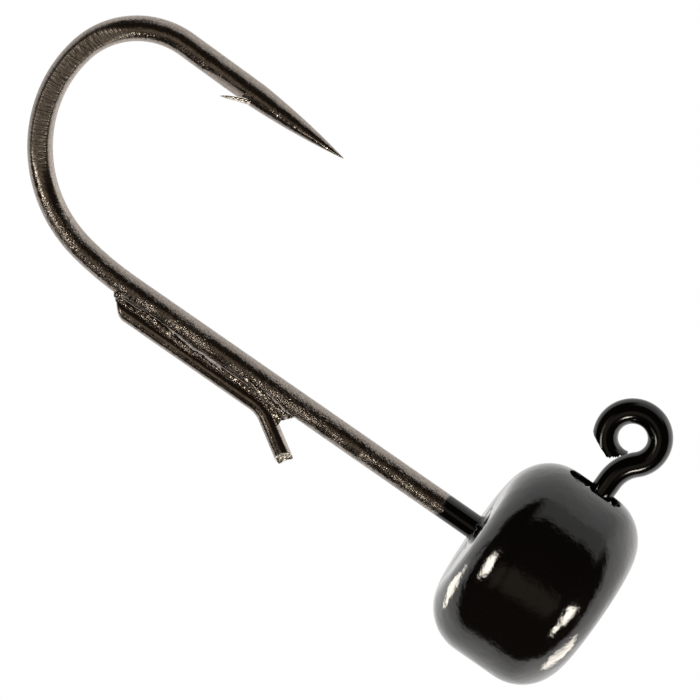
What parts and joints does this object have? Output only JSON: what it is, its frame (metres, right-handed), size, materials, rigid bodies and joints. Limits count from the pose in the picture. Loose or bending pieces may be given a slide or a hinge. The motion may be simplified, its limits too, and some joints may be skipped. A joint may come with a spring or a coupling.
{
  "type": "jig head",
  "caption": "Weighted fishing hook: a gloss black pill-shaped weight on a bent single hook with an upright line eye, a barb and a soldered wire bait keeper.",
  "frame": {"origin": "centre of the weight's flat rear face, on the weight's own axis", "axes": "+X along the weight's axis from the bait seat to the nose, +Z towards the line eye and the hook point, Y square to the plane of the hook"},
  "size_m": [0.0304, 0.0086, 0.0144],
  "materials": {
    "black_enamel": "thick gloss black enamel over a sintered tungsten alloy weight",
    "black_nickel": "dark black-nickel plating on forged steel wire, with gloss black enamel on the eye, the neck and the first 1.6 mm of the shank",
    "keeper_wire": "dark plated steel wire with bright nipped ends",
    "solder": "dull grainy solder with bright specks, darkened by the plating",
    "painted_epoxy": "epoxy under the same gloss black enamel"
  },
  "bodies": {
    "root": {"head_weight": "black_enamel", "hook": "black_nickel", "bait_keeper": "keeper_wire", "keeper_solder": "solder", "adhesive_fill": "painted_epoxy"}
  },
  "joints": []
}
